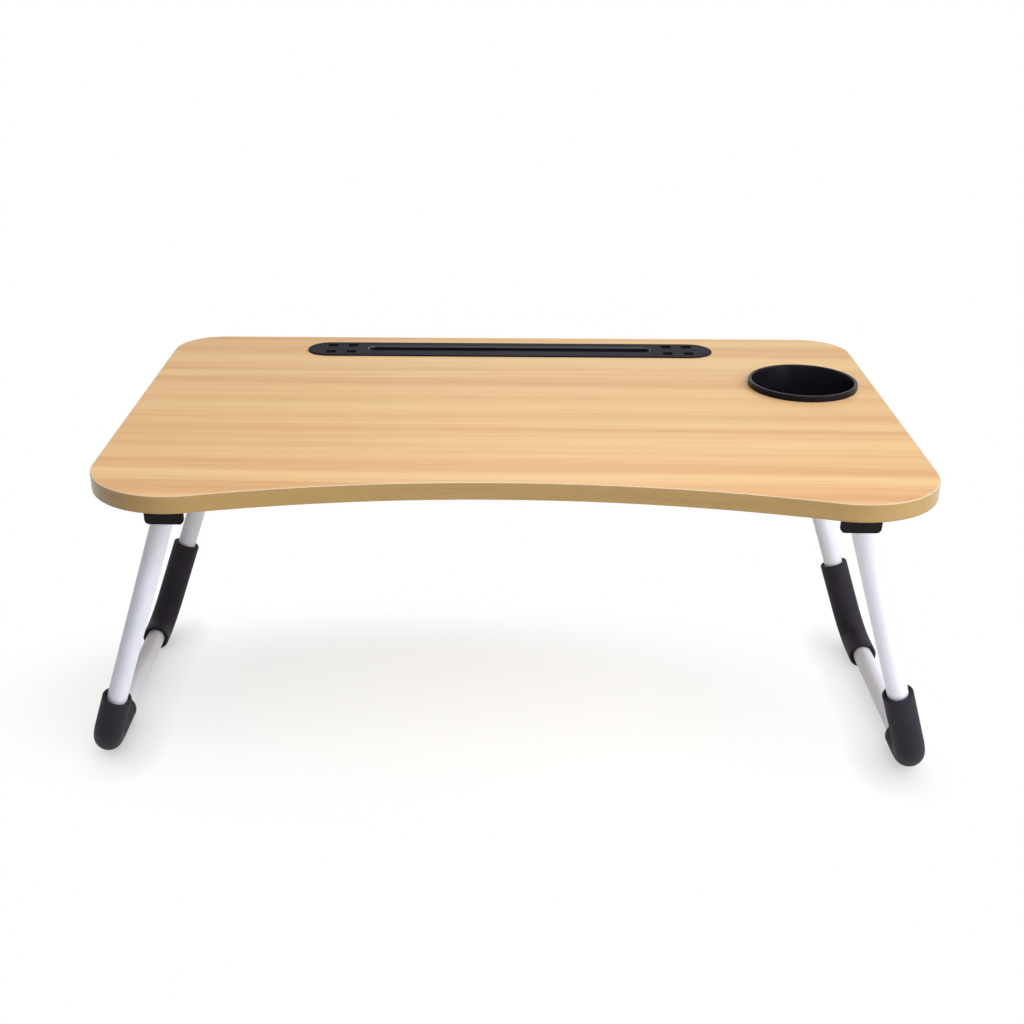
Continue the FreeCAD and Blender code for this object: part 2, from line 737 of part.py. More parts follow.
def make_sleeve(side, end, floor):
    name = "foot_sleeve_%s_%s" % (end, side)
    upright_arm = "%s_%s_upright_arm" % (end, side)
    run_arm = "%s_%s_run_arm" % (end, side)
    start = "(%s_corner_y %s %s)" % (end, "+" if ends[end] < 0 else "-", run_arm)
    body = new_body(name + "_elbow")
    profile = new_sketch(body, name + "_section", "XZ_Plane", "-" + start)
    add_circle(profile, "sleeve_radius", "0", "-leg_length")
    add_circle(profile, "sleeve_bore_radius", "0", "-leg_length")
    spine = new_sketch(body, name + "_path", "YZ_Plane")
    add_path(spine, [
        (start, "-leg_length", None),
        (end + "_corner_y", "-leg_length", "bend_radius"),
        upright_point(end, upright_arm, from_pivot=False) + (None,),
    ], closed=False)
    doc.recompute()
    pipe(body, profile, spine)
    fillet(body, "sleeve_rim_round", on_rim(body, "sleeve_radius"))
    chamfer(body, "mouth_flare", on_rim(body, "sleeve_bore_radius"))
    leg_place(body, side)
    sleeve = doc.addObject("Part::Cut", name)
    sleeve.Base = body
    sleeve.Tool = floor
    return sleeve


floor = make_floor()
parts = [
    make_core(), make_top_laminate(), make_bottom_laminate(), make_edge_band(), make_cup_holder(),
    make_tablet_slot(), make_screws(),
]
for side in sides:
    parts.append(make_leg_tube(side))
    for end in ends:
        parts.append(make_bracket(side, end))
        parts.append(make_pin(side, end))
        parts.append(make_knuckle(side, end))
        parts.append(make_sleeve(side, end, floor))
doc.recompute()

for thing in doc.Objects:
    if "Invalid" in thing.State or "Error" in thing.State:
        raise RuntimeError("%s failed: %s" % (thing.Label, thing.State))
os.makedirs("parts", exist_ok=True)
for thing in parts:
    if thing.Shape.isNull() or not thing.Shape.isValid():
        raise RuntimeError(thing.Label + " has no valid shape")
for thing in parts:
    thing.Shape.exportStep("parts/%s.step" % thing.Label)
    box = thing.Shape.BoundBox
    print("%-28s solids %2d  volume %9.0f  x %7.1f %7.1f  y %7.1f %7.1f  z %6.1f %6.1f" % (
        thing.Label, len(thing.Shape.Solids), thing.Shape.Volume,
        box.XMin, box.XMax, box.YMin, box.YMax, box.ZMin, box.ZMax))
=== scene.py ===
import math
import bmesh
import bpy
from mathutils import Matrix, Vector


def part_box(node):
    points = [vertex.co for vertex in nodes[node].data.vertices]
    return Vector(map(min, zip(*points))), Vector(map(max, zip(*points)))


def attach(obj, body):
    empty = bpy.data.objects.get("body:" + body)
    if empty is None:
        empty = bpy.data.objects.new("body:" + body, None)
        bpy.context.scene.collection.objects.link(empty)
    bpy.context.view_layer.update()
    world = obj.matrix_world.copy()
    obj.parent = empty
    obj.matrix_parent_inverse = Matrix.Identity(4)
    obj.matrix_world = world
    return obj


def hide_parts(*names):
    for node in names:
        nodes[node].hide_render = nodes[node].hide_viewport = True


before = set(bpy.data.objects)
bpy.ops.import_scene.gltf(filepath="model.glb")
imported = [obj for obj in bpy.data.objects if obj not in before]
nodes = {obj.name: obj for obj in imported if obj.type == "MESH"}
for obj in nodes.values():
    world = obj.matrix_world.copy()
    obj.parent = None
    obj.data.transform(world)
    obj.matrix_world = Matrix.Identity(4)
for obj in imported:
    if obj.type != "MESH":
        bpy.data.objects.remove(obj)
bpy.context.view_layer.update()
mm = 0.001  # metres
weldGap = 0.001 * mm  # vertices closer than this are one
print("frame loaded with", len(nodes), "nodes")


def linear(code):  # sRGB hex to the linear colour that sockets take
    parts = [int(code[i:i + 2], 16) / 255 for i in (1, 3, 5)]
    return tuple(p / 12.92 if p <= 0.04045 else ((p + 0.055) / 1.055) ** 2.4 for p in parts) + (1.0,)


def perMetre(*millimetres):  # pattern sizes in mm to the scale of a texture on Object coordinates
    return tuple(1000 / size for size in millimetres)


def addNode(tree, kind, settings=None, links=None):  # one node with its settings and what feeds its sockets
    node = tree.nodes.new(kind)
    for key, value in (settings or {}).items():
        if key == "stops":
            ramp = node.color_ramp.elements
            for place, _ in value[2:]:
                ramp.new(place)
            for element, (place, colour) in zip(ramp, value):
                element.position = place
                element.color = colour
        elif isinstance(key, str) and hasattr(node, key):
            setattr(node, key, value)
        else:
            node.inputs[key].default_value = value
    for key, source in (links or {}).items():
        tree.links.new(source, node.inputs[key])
    return node


def emptyTree(owner):  # the node tree of a new world or material, with nothing in it
    owner.use_nodes = True
    owner.node_tree.nodes.clear()
    return owner.node_tree


def startMaterial(name, settings):  # an empty material with a Principled shader, and the object's own coordinates
    material = bpy.data.materials.new(name)
    tree = emptyTree(material)
    shader = addNode(tree, "ShaderNodeBsdfPrincipled", settings)
    addNode(tree, "ShaderNodeOutputMaterial", links={"Surface": shader.outputs[0]})
    place = addNode(tree, "ShaderNodeTexCoord").outputs["Object"]
    return material, tree, shader, place


def tones(s, places, *keys):  # the stops of a colour ramp, in the named colours of a finish
    return [(place, linear(s[key])) for place, key in zip(places, keys)]


def onRays(tree, *kinds):  # 1 where the light path is one of these kinds of ray, 0 on all others
    path = addNode(tree, "ShaderNodeLightPath").outputs
    found = path[kinds[0]]
    for kind in kinds[1:]:
        found = addNode(tree, "ShaderNodeMath", {"operation": "MAXIMUM"}, {0: found, 1: path[kind]}).outputs[0]
    return found


# Camera: solved from the table's known 600 x 394 x 264 mm and its edges in the picture
photoCamera = {
    "place": (-0.0085, -1.08537, 0.62677),  # metres
    "yaw": -3.16, "pitch": 27.42, "roll": 0.53,  # degrees, pitch is downwards
    "focal": 1419.54, "axis": (425.0, 630.0), "picture": 1024,  # pixels
    "sensor": 36.0,  # mm
}


def aimCamera(s):
    yaw, pitch, roll = (math.radians(s[k]) for k in ("yaw", "pitch", "roll"))
    ahead = Vector((math.sin(yaw) * math.cos(pitch), math.cos(yaw) * math.cos(pitch), -math.sin(pitch)))
    across = Vector((math.cos(yaw), -math.sin(yaw), 0))
    down = ahead.cross(across)
    across, down = (across * math.cos(roll) + down * math.sin(roll),
                    down * math.cos(roll) - across * math.sin(roll))
    data = bpy.data.cameras.new("photoCamera")
    data.sensor_width = s["sensor"]
    data.lens = s["focal"] * s["sensor"] / s["picture"]
    half = s["picture"] / 2
    data.shift_x = (half - s["axis"][0]) / s["picture"]  # the picture's middle is not on the lens axis
    data.shift_y = (s["axis"][1] - half) / s["picture"]
    camera = bpy.data.objects.new("photoCamera", data)
    turned = Matrix((across, -down, -ahead)).transposed().to_4x4()
    camera.matrix_world = Matrix.Translation(s["place"]) @ turned
    bpy.context.scene.collection.objects.link(camera)
    bpy.context.scene.camera = camera


aimCamera(photoCamera)
bpy.context.scene.view_settings.view_transform = "Standard"
print("camera set")

# Studio: white surroundings that light the right side more, a broad key lamp from the right, three soft boxes and a
# white paper floor. The paper shows its shading inside an ellipse under the table and fades to plain white past it.
# Close to the feet a painted contact shadow dims it as well, mostly on their inner side.
studio = {
    "white": "#FFFFFF", "skyLeft": 0.08, "skyRight": 0.50, "floorSize": 30.0,
    "shadow": {"middle": (-0.06, -0.02, 0.0), "reach": (0.45, 0.205, 1.0), "inner": 0.44, "glow": 0.69},
    "contactShadow": {"reach": 0.036, "depth": 0.50, "lean": 2.0, "samples": 6},
    "key": {"strength": 1.40, "angle": 40, "from": (1.20, -0.30, 0.82), "towards": (0.0, 0.0, 0.0)},
    "boxes": {
        "overheadBox": {"power": 7.6, "size": (0.6, 0.6), "from": (0.22, -0.72, 1.18), "towards": (0.05, 0.0, 0.25)},
        "backBox": {"power": 1.8, "size": (0.7, 0.5), "from": (0.14, 1.25, 1.00), "towards": (0.08, 0.0, 0.27)},
        "sideBox": {"power": 4.0, "size": (0.5, 0.5), "from": (0.95, -0.75, 0.35), "towards": (0.25, -0.2, 0.2)},
    },
}


def surroundStudio(s):
    world = bpy.data.worlds.new("studioWorld")
    bpy.context.scene.world = world
    tree = emptyTree(world)
    seen = onRays(tree, "Is Camera Ray", "Is Glossy Ray", "Is Transmission Ray")
    way = addNode(tree, "ShaderNodeSeparateXYZ", links={0: addNode(tree, "ShaderNodeTexCoord").outputs["Generated"]})
    side = addNode(tree, "ShaderNodeMapRange", {
        "From Min": -1.0, "To Min": s["skyLeft"], "To Max": s["skyRight"]}, {"Value": way.outputs["X"]})
    level = addNode(tree, "ShaderNodeMix", {"data_type": "FLOAT", 3: 1.0}, {0: seen, 2: side.outputs[0]})
    sky = addNode(tree, "ShaderNodeBackground", {"Color": linear(s["white"])}, {"Strength": level.outputs[0]})
    addNode(tree, "ShaderNodeOutputWorld", links={"Surface": sky.outputs[0]})


def hangLamps(s):
    key = bpy.data.lights.new("keyLamp", "SUN")
    key.energy = s["key"]["strength"]
    key.angle = math.radians(s["key"]["angle"])
    lamps = [(key, s["key"])]
    for name, b in s["boxes"].items():
        box = bpy.data.lights.new(name, "AREA")
        box.shape = "RECTANGLE"
        box.size, box.size_y = b["size"]
        box.energy = b["power"]
        lamps.append((box, b))
    for lamp, b in lamps:
        item = bpy.data.objects.new(lamp.name, lamp)
        item.location = b["from"]
        item.rotation_euler = (Vector(b["towards"]) - Vector(b["from"])).to_track_quat("-Z", "Y").to_euler()
        bpy.context.scene.collection.objects.link(item)


def makeStudioPaper(s):
    paper = bpy.data.materials.new("studioPaper")
    tree = emptyTree(paper)
    shadow, contactShadow = s["shadow"], s["contactShadow"]
    seen = onRays(tree, "Is Camera Ray", "Is Glossy Ray")
    spot = addNode(tree, "ShaderNodeTexCoord").outputs["Object"]
    patch = addNode(tree, "ShaderNodeMapping", {
        "vector_type": "TEXTURE", "Location": shadow["middle"], "Scale": shadow["reach"]}, {"Vector": spot})
    away = addNode(tree, "ShaderNodeVectorMath", {"operation": "LENGTH"}, {0: patch.outputs[0]})
    fade = addNode(tree, "ShaderNodeMapRange", {
        "interpolation_type": "SMOOTHSTEP", "From Min": shadow["inner"], "To Min": shadow["glow"]},
        {"Value": away.outputs["Value"]})
    share = addNode(tree, "ShaderNodeMath", {"operation": "MULTIPLY"}, {0: seen, 1: fade.outputs[0]})

    # painted contact shadow: the glow is dimmed where ambient occlusion finds the feet close, mostly on their inner
    # side
    outwards = addNode(tree, "ShaderNodeVectorMath", {
        "operation": "MULTIPLY_ADD", 1: (contactShadow["lean"], 0, 0), 2: (0, 0, 1)}, {0: spot})
    outwards = addNode(tree, "ShaderNodeVectorMath", {"operation": "NORMALIZE"}, {0: outwards.outputs[0]})
    clear = addNode(tree, "ShaderNodeAmbientOcclusion", {
        "samples": contactShadow["samples"], "Distance": contactShadow["reach"]}, {"Normal": outwards.outputs[0]})
    paintedContactShadow = addNode(tree, "ShaderNodeMapRange", {"To Min": 1 - contactShadow["depth"]}, {"Value": clear.outputs["AO"]})

    shaded = addNode(tree, "ShaderNodeBsdfDiffuse", {"Color": linear(s["white"])})
    glow = addNode(tree, "ShaderNodeEmission", links={"Strength": paintedContactShadow.outputs[0]})
    mixed = addNode(tree, "ShaderNodeMixShader", links={
        0: share.outputs[0], 1: shaded.outputs[0], 2: glow.outputs[0]})
    addNode(tree, "ShaderNodeOutputMaterial", links={"Surface": mixed.outputs[0]})
    return paper


def layFloor(s):
    half = s["floorSize"] / 2
    mesh = bpy.data.meshes.new("studioFloor")
    mesh.from_pydata([(-half, -half, 0), (half, -half, 0), (half, half, 0), (-half, half, 0)], [], [(0, 1, 2, 3)])
    mesh.materials.append(makeStudioPaper(s))
    floor = bpy.data.objects.new("studioFloor", mesh)
    bpy.context.scene.collection.objects.link(floor)


surroundStudio(studio)
hangLamps(studio)
layFloor(studio)
print("studio lit")

# Beech-print melamine laminate, pressed satin: slow bands of tone, long fine grain lines, a few reddish streaks
# and short ray flecks, all along X and swaying a little. Grain lines are drawn a little coarse so that they show.
beech = {
    "pale": "#EECB94", "middle": "#E6BA85", "tan": "#DAA672", "streak": "#BE8450",
    "layers": {  # size in mm, detail and bend of each
        "band": ((2200, 38, 38), 2.0, 0.2), "grain": ((900, 9, 9), 5.0, 0.2), "fibre": ((120, 1.6, 1.6), 4.5, 0.0),
        "streak": ((190, 2.6, 2.6), 2.0, 0.0), "fleck": ((11, 1.0, 1.0), 2.0, 0.0),
    },
    "swaySize": (330, 120, 120), "swayDetail": 1.0, "sway": 16,  # sway is how far aside the lines go, in mm
    "fibreShare": 0.30, "lineShare": 0.42, "toneStops": (0.38, 0.49, 0.62),
    "streakRange": (0.62, 0.80), "streakDepth": 0.50, "fleckRange": (0.60, 0.74), "fleckDepth": 0.16,
    "rough": (0.35, 0.47), "relief": 0.10, "depth": 0.1, "ior": 1.5, "specular": 0.08,  # depth in mm
}


def makeBeechLaminate(name, s):
    material, tree, shader, place = startMaterial(name, {"IOR": s["ior"], "Specular IOR Level": s["specular"]})
    drift = addNode(tree, "ShaderNodeMapping", {"Scale": perMetre(*s["swaySize"])}, {"Vector": place})
    drift = addNode(tree, "ShaderNodeTexNoise", {"Scale": 1.0, "Detail": s["swayDetail"]},
                    {"Vector": drift.outputs[0]})
    aside = addNode(tree, "ShaderNodeMath", {"operation": "MULTIPLY", 1: s["sway"] * mm}, {0: drift.outputs[0]})
    aside = addNode(tree, "ShaderNodeCombineXYZ", links={"Y": aside.outputs[0]})
    swayed = addNode(tree, "ShaderNodeVectorMath", {"operation": "ADD"}, {0: place, 1: aside.outputs[0]})
    layers = {}
    for key, (size, detail, bend) in s["layers"].items():
        stretched = addNode(tree, "ShaderNodeMapping", {"Scale": perMetre(*size)}, {"Vector": swayed.outputs[0]})
        layers[key] = addNode(tree, "ShaderNodeTexNoise", {"Scale": 1.0, "Detail": detail, "Distortion": bend},
                              {"Vector": stretched.outputs[0]}).outputs[0]
    lines = addNode(tree, "ShaderNodeMix", {"data_type": "FLOAT", 0: s["fibreShare"]},
                    {2: layers["grain"], 3: layers["fibre"]})
    tone = addNode(tree, "ShaderNodeMix", {"data_type": "FLOAT", 0: s["lineShare"]},
                   {2: layers["band"], 3: lines.outputs[0]})
    body = addNode(tree, "ShaderNodeValToRGB", {"stops": tones(s, s["toneStops"], "tan", "middle", "pale")},
                   {"Fac": tone.outputs[0]})
    marks = [addNode(tree, "ShaderNodeMapRange", {
        "From Min": s[key + "Range"][0], "From Max": s[key + "Range"][1], "To Max": s[key + "Depth"]},
        {"Value": layers[key]}).outputs[0] for key in ("streak", "fleck")]
    marked = addNode(tree, "ShaderNodeMath", {"operation": "ADD", "use_clamp": True}, {0: marks[0], 1: marks[1]})
    colour = addNode(tree, "ShaderNodeMix", {"data_type": "RGBA", 7: linear(s["streak"])},
                     {0: marked.outputs[0], 6: body.outputs[0]})
    rough = addNode(tree, "ShaderNodeMapRange", {"To Min": s["rough"][0], "To Max": s["rough"][1]},
                    {"Value": lines.outputs[0]})
    relief = addNode(tree, "ShaderNodeBump", {"Strength": s["relief"], "Distance": s["depth"] * mm},
                     {"Height": lines.outputs[0]})
    tree.links.new(colour.outputs[2], shader.inputs["Base Color"])
    tree.links.new(rough.outputs[0], shader.inputs["Roughness"])
    tree.links.new(relief.outputs[0], shader.inputs["Normal"])
    return material


# The backing sheet under the board: the same print, paler and duller
backing = dict(beech, pale="#EAD5B6", middle="#E3CAA8", tan="#D9BE9A", streak="#C3A27C", rough=(0.50, 0.62))

# Printed PVC edge band, extruded: faint streaks along its length, satin gloss, a thin pale line painted along the top
# arris as its highlight, and a hairline at the back where the two ends of the strip meet
bandFinish = {
    "light": "#A58550", "dark": "#9F7F4B", "arrisHighlight": "#E0D2B6", "joint": "#6E5636",
    "streakSize": (120, 120, 4), "fineSize": (40, 40, 1.2), "detail": 2.0,  # sizes in mm
    "fineShare": 0.35, "toneStops": (0.32, 0.66),
    "arrisHighlightDepth": 0.35, "arrisHighlightShare": 0.8, "jointWidth": 0.4,  # depth and width in mm
    "rough": (0.21, 0.36), "ior": 1.53, "specular": 0.45,
}


def makeEdgeBandPvc(name, s):
    material, tree, shader, place = startMaterial(name, {"IOR": s["ior"], "Specular IOR Level": s["specular"]})
    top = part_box("edge_band")[1].z
    streaks = []
    for key in ("streakSize", "fineSize"):
        stretched = addNode(tree, "ShaderNodeMapping", {"Scale": perMetre(*s[key])}, {"Vector": place})
        streaks.append(addNode(tree, "ShaderNodeTexNoise", {"Scale": 1.0, "Detail": s["detail"]},
                               {"Vector": stretched.outputs[0]}).outputs[0])
    mixed = addNode(tree, "ShaderNodeMix", {"data_type": "FLOAT", 0: s["fineShare"]}, {2: streaks[0], 3: streaks[1]})
    face = addNode(tree, "ShaderNodeValToRGB", {"stops": tones(s, s["toneStops"], "dark", "light")},
                   {"Fac": mixed.outputs[0]})
    where = addNode(tree, "ShaderNodeSeparateXYZ", links={0: place})
    # painted highlight: a thin pale line along the top arris
    arrisHighlight = addNode(tree, "ShaderNodeMapRange", {
        "From Min": top - s["arrisHighlightDepth"] * mm, "From Max": top - s["arrisHighlightDepth"] * mm / 2, "To Max": s["arrisHighlightShare"]},
        {"Value": where.outputs["Z"]})
    withArrisHighlight = addNode(tree, "ShaderNodeMix", {"data_type": "RGBA", 7: linear(s["arrisHighlight"])},
                      {0: arrisHighlight.outputs[0], 6: face.outputs[0]})
    offMiddle = addNode(tree, "ShaderNodeMath", {"operation": "ABSOLUTE"}, {0: where.outputs["X"]})
    seam = addNode(tree, "ShaderNodeMath", {"operation": "LESS_THAN", 1: s["jointWidth"] * mm / 2},
                   {0: offMiddle.outputs[0]})
    rear = addNode(tree, "ShaderNodeMath", {"operation": "GREATER_THAN", 1: 0.0}, {0: where.outputs["Y"]})
    joint = addNode(tree, "ShaderNodeMath", {"operation": "MULTIPLY"}, {0: seam.outputs[0], 1: rear.outputs[0]})
    colour = addNode(tree, "ShaderNodeMix", {"data_type": "RGBA", 7: linear(s["joint"])},
                     {0: joint.outputs[0], 6: withArrisHighlight.outputs[2]})
    rough = addNode(tree, "ShaderNodeMapRange", {"To Min": s["rough"][0], "To Max": s["rough"][1]},
                    {"Value": mixed.outputs[0]})
    tree.links.new(colour.outputs[2], shader.inputs["Base Color"])
    tree.links.new(rough.outputs[0], shader.inputs["Roughness"])
    return material


# Moulded and sprayed finishes: a base colour with a slow drift of tone, and a grain that roughens and dimples it.
# Sizes and depths are in mm.
grainFinishes = {
    "blackAbs": {  # moulded ABS, spark-eroded tool: soft sheen broken by a fine even grain, drawn coarse to show
        "low": "#17161C", "high": "#211F28", "driftSize": 30, "grainSize": 0.9, "rough": (0.42, 0.56),
        "relief": 0.16, "depth": 0.06, "ior": 1.53, "specular": 0.02},
    "rubbedAbs": {  # the same ABS on the groove's rounded edge: a smoother grain that takes a gleam, and a greyer tone that is a painted highlight
        "low": "#353239", "high": "#403D44", "driftSize": 30, "grainSize": 0.9, "rough": (0.30, 0.40),
        "relief": 0.05, "depth": 0.06, "ior": 1.53, "specular": 0.24},
    "blackCupAbs": {  # the same ABS from a polished tool: darker and smoother, as the deep well needs
        "low": "#0E0B11", "high": "#18151D", "driftSize": 25, "grainSize": 0.9, "rough": (0.26, 0.38),
        "relief": 0.10, "depth": 0.04, "ior": 1.53, "specular": 0.10},
    "blackNylon": {  # glass-filled nylon hinge parts: warm black, dull, with a slightly fibrous skin
        "low": "#151214", "high": "#1F1B1E", "driftSize": 16, "grainSize": 1.1, "rough": (0.48, 0.62),
        "relief": 0.20, "depth": 0.08, "ior": 1.53, "specular": 0.10},
    "blackSleeveRubber": {  # soft PVC rubber, dip-moulded: matt, slightly violet black with a dusty bloom
        "low": "#1F1B22", "high": "#2A2630", "driftSize": 18, "grainSize": 1.2, "rough": (0.52, 0.70),
        "relief": 0.22, "depth": 0.1, "ior": 1.48, "specular": 0.16},
    "whitePowderCoat": {  # baked polyester powder on steel tube: cool white with faint orange peel
        "low": "#D2D4E1", "high": "#DDDFEA", "driftSize": 40, "grainSize": 1.6, "rough": (0.30, 0.40),
        "relief": 0.07, "depth": 0.08, "ior": 1.5, "specular": 0.5},
    "rawFibreboard": {  # sawn medium-density fibreboard: brown felted fibre, no gloss
        "low": "#8F6F4C", "high": "#B08E66", "driftSize": 2.5, "grainSize": 0.5, "rough": (0.80, 0.95),
        "relief": 0.30, "depth": 0.1, "ior": 1.4, "specular": 0.2},
}
grainPattern = {"driftDetail": 3.0, "grainDetail": 2.0, "grainShare": 0.30, "range": (0.30, 0.70)}


def makeGrainFinish(name, s, pattern):
    material, tree, shader, place = startMaterial(name, {"IOR": s["ior"], "Specular IOR Level": s["specular"]})
    drift, grain = (addNode(tree, "ShaderNodeTexNoise", {
        "Scale": perMetre(s[key + "Size"])[0], "Detail": pattern[key + "Detail"]}, {"Vector": place}).outputs[0]
        for key in ("drift", "grain"))
    both = addNode(tree, "ShaderNodeMix", {"data_type": "FLOAT", 0: pattern["grainShare"]}, {2: drift, 3: grain})
    colour = addNode(tree, "ShaderNodeValToRGB", {"stops": tones(s, pattern["range"], "low", "high")},
                     {"Fac": both.outputs[0]})
    rough = addNode(tree, "ShaderNodeMapRange", {
        "From Min": pattern["range"][0], "From Max": pattern["range"][1],
        "To Min": s["rough"][0], "To Max": s["rough"][1]}, {"Value": both.outputs[0]})
    relief = addNode(tree, "ShaderNodeBump", {"Strength": s["relief"], "Distance": s["depth"] * mm},
                     {"Height": grain})
    tree.links.new(colour.outputs[0], shader.inputs["Base Color"])
    tree.links.new(rough.outputs[0], shader.inputs["Roughness"])
    tree.links.new(relief.outputs[0], shader.inputs["Normal"])
    return material


# Plain metals: blackened pins show fine drawn lines along Y, zinc plate is bright with a cloudy tint
metalFinishes = {
    "blackenedSteel": {"low": "#19181B", "high": "#29282C", "lineSize": (0.5, 14, 0.5), "rough": (0.40, 0.55)},
    "brightZinc": {"low": "#B9BBBF", "high": "#D9D8D2", "lineSize": (3, 3, 3), "rough": (0.22, 0.38)},
}
metalPattern = {"detail": 3.0, "range": (0.30, 0.70)}


def makeMetal(name, s, pattern):
    material, tree, shader, place = startMaterial(name, {"Metallic": 1.0})
    stretched = addNode(tree, "ShaderNodeMapping", {"Scale": perMetre(*s["lineSize"])}, {"Vector": place})
    lines = addNode(tree, "ShaderNodeTexNoise", {"Scale": 1.0, "Detail": pattern["detail"]},
                    {"Vector": stretched.outputs[0]})
    colour = addNode(tree, "ShaderNodeValToRGB", {"stops": tones(s, pattern["range"], "low", "high")},
                     {"Fac": lines.outputs[0]})
    rough = addNode(tree, "ShaderNodeMapRange", {"To Min": s["rough"][0], "To Max": s["rough"][1]},
                    {"Value": lines.outputs[0]})
    tree.links.new(colour.outputs[0], shader.inputs["Base Color"])
    tree.links.new(rough.outputs[0], shader.inputs["Roughness"])
    return material


finishes = {"beechLaminate": makeBeechLaminate("beechLaminate", beech),
            "beechBacking": makeBeechLaminate("beechBacking", backing),
            "edgeBandPvc": makeEdgeBandPvc("edgeBandPvc", bandFinish)}
for name, s in grainFinishes.items():
    finishes[name] = makeGrainFinish(name, s, grainPattern)
for name, s in metalFinishes.items():
    finishes[name] = makeMetal(name, s, metalPattern)
print("finishes made:", len(finishes))

nodeFinish = {  # by the start of the node's name
    "tabletop_core": "rawFibreboard", "top_laminate": "beechLaminate", "bottom_laminate": "beechBacking",
    "edge_band": "edgeBandPvc", "cup_holder": "blackCupAbs", "tablet_slot_insert": "blackAbs",
    "bracket_screws": "brightZinc", "leg_tube": "whitePowderCoat", "hinge_bracket": "blackNylon",
    "hinge_knuckle": "blackNylon", "hinge_pin": "blackenedSteel", "foot_sleeve": "blackSleeveRubber",
}
for name, node in nodes.items():
    finish = next(f for start, f in nodeFinish.items() if name.startswith(start))
    node.data.materials.clear()
    node.data.materials.append(finishes[finish])
print("CAD nodes finished")


def plainMesh(piece):  # the piece with its modifiers made into a mesh, and none left on it
    bpy.context.view_layer.update()
    graph = bpy.context.evaluated_depsgraph_get()
    mesh = bpy.data.meshes.new_from_object(piece.evaluated_get(graph))
    before = piece.data
    piece.modifiers.clear()
    piece.data = mesh
    bpy.data.meshes.remove(before)
    return mesh


# Pan-head cross-recess screws, one under each corner of the hinge brackets, each stopped at its own turn
screw = {
    "node": "bracket_screws", "finish": "brightZinc", "slot": "zinc_screw", "body": "tabletop",
    "sizes": {  # metres
        "headRadius": 0.0035, "rimHeight": 0.0012, "domeHeight": 0.0010,
        "shankRadius": 0.00175, "shankLength": 0.0095,
        "tipLength": 0.0025, "tipRadius": 0.0017, "tipOverlap": 0.0002, "pointRadius": 0.0001,
        "recessLength": 0.0038, "recessWidth": 0.0008, "recessDepth": 0.0013, "mergeGap": 0.00001},
    "headSides": 40, "headRings": 7, "shankSides": 20, "domePower": 2.4, "largestTurn": math.pi / 2,
    "seed": 11, "sharp": 35,  # degrees
}


def islandBoxes(node):  # the box of each separate solid in a CAD node, from a merged copy of its mesh
    work = bmesh.new()
    work.from_mesh(nodes[node].data)
    bmesh.ops.remove_doubles(work, verts=work.verts, dist=weldGap)
    left = set(work.verts)
    boxes = []
    while left:
        front = [left.pop()]
        found = []
        while front:
            vert = front.pop()
            found.append(vert.co.copy())
            near = {edge.other_vert(vert) for edge in vert.link_edges} & left
            left -= near
            front.extend(near)
        boxes.append(tuple(Vector(f(p[i] for p in found) for i in range(3)) for f in (min, max)))
    work.free()
    return sorted(boxes, key=lambda b: tuple(round(v, 4) for v in b[0]))


